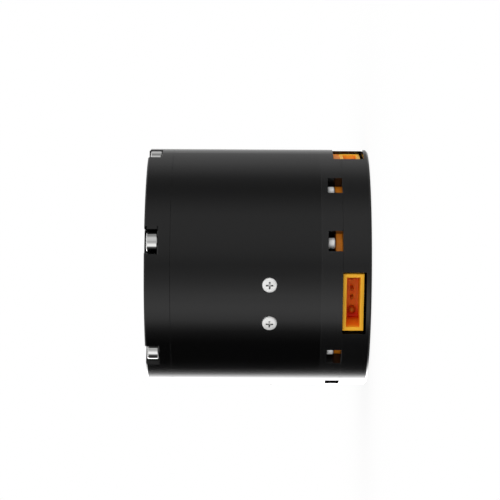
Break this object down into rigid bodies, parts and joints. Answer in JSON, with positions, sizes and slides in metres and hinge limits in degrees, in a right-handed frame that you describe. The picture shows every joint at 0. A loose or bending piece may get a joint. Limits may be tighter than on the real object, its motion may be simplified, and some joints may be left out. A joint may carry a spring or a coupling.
{
  "type": "robot joint actuator",
  "caption": "Compact round robot joint actuator: geared brushless motor with a turning output flange, driver board and side plug sockets.",
  "frame": {"origin": "centre of the rear cover's outer face, on the turning axis", "axes": "+Z along the turning axis towards the output flange, -Y through the middle of the lower plug socket"},
  "size_m": [0.0583, 0.059, 0.0529],
  "materials": {
    "anodised_front": "satin black anodised, fine turned",
    "anodised_rear": "satin black anodised, slightly lighter",
    "anodised_output": "satin black anodised, faced",
    "bright_steel": "bright turned steel",
    "hardened_steel": "ground and oiled",
    "bearing_steel": "polished",
    "shaft_steel": "ground",
    "bronze": "satin",
    "lamination": "stacked sheet, varnished",
    "enamelled_copper": "glossy enamel",
    "nickel": "nickel plated",
    "board_laminate": "orange solder mask over laminate",
    "socket_plastic": "moulded orange",
    "chip_resin": "moulded epoxy",
    "ceramic": "fired ceramic",
    "can_aluminium": "satin can",
    "gold_contact": "gold plated"
  },
  "bodies": {
    "housing": {"front_ring": "anodised_front", "front_cap_screws": "bright_steel", "main_housing": "anodised_front", "stator_screws": "bright_steel", "motor_end_plate": "anodised_rear", "end_plate_screws": "bright_steel", "rear_cover": "anodised_rear", "rear_cover_screws": "bright_steel", "stator_core": "lamination", "stator_coils": "enamelled_copper", "phase_leads": "enamelled_copper", "ring_gear": "hardened_steel", "ring_gear_dowels": "bright_steel", "output_bearing_outer": "bearing_steel", "carrier_bearing_outer": "bearing_steel", "rotor_rear_bearing_outer": "bearing_steel", "driver_board": "board_laminate", "board_screws": "bright_steel", "encoder_chip": "chip_resin", "controller_chip": "chip_resin", "power_transistors": "chip_resin", "ceramic_capacitors": "ceramic", "bulk_capacitors": "can_aluminium", "socket_housing_lower": "socket_plastic", "socket_housing_upper": "socket_plastic", "socket_power_pins": "gold_contact", "socket_signal_pins": "gold_contact"},
    "output": {"output_flange": "anodised_output", "carrier_plate": "hardened_steel", "carrier_screws": "bright_steel", "planet_pins": "shaft_steel", "output_bearing_inner": "bearing_steel", "carrier_bearing_inner": "bearing_steel", "rotor_front_bearing_outer": "bearing_steel"},
    "rotor": {"rotor_shaft": "shaft_steel", "sun_gear": "hardened_steel", "rotor_core": "lamination", "rotor_magnets": "nickel", "encoder_magnet": "nickel", "rotor_front_bearing_inner": "bearing_steel", "rotor_rear_bearing_inner": "bearing_steel"},
    "planet_1": {"planet_gear_1": "hardened_steel", "planet_bush_1": "bronze"},
    "planet_2": {"planet_gear_2": "hardened_steel", "planet_bush_2": "bronze"},
    "planet_3": {"planet_gear_3": "hardened_steel", "planet_bush_3": "bronze"}
  },
  "joints": [
    {"name": "output_spin", "type": "hinge", "parent": "housing", "child": "output", "pos_m": [0, 0, 0.049], "axis": [0, 0, 1], "continuous": true},
    {"name": "rotor_spin", "type": "hinge", "parent": "housing", "child": "rotor", "pos_m": [0, 0, 0.0235], "axis": [0, 0, 1], "continuous": true},
    {"name": "planet_1_spin", "type": "hinge", "parent": "output", "child": "planet_1", "pos_m": [0.0105, 0, 0.0435], "axis": [0, 0, 1], "continuous": true},
    {"name": "planet_2_spin", "type": "hinge", "parent": "output", "child": "planet_2", "pos_m": [-0.00525, 0.00909, 0.0435], "axis": [0, 0, 1], "continuous": true},
    {"name": "planet_3_spin", "type": "hinge", "parent": "output", "child": "planet_3", "pos_m": [-0.00525, -0.00909, 0.0435], "axis": [0, 0, 1], "continuous": true}
  ],
  "couplings": [
    {"joint": "rotor_spin", "follows": "output_spin", "ratio": 7},
    {"joint": "planet_1_spin", "follows": "output_spin", "ratio": -2.4},
    {"joint": "planet_2_spin", "follows": "output_spin", "ratio": -2.4},
    {"joint": "planet_3_spin", "follows": "output_spin", "ratio": -2.4}
  ]
}
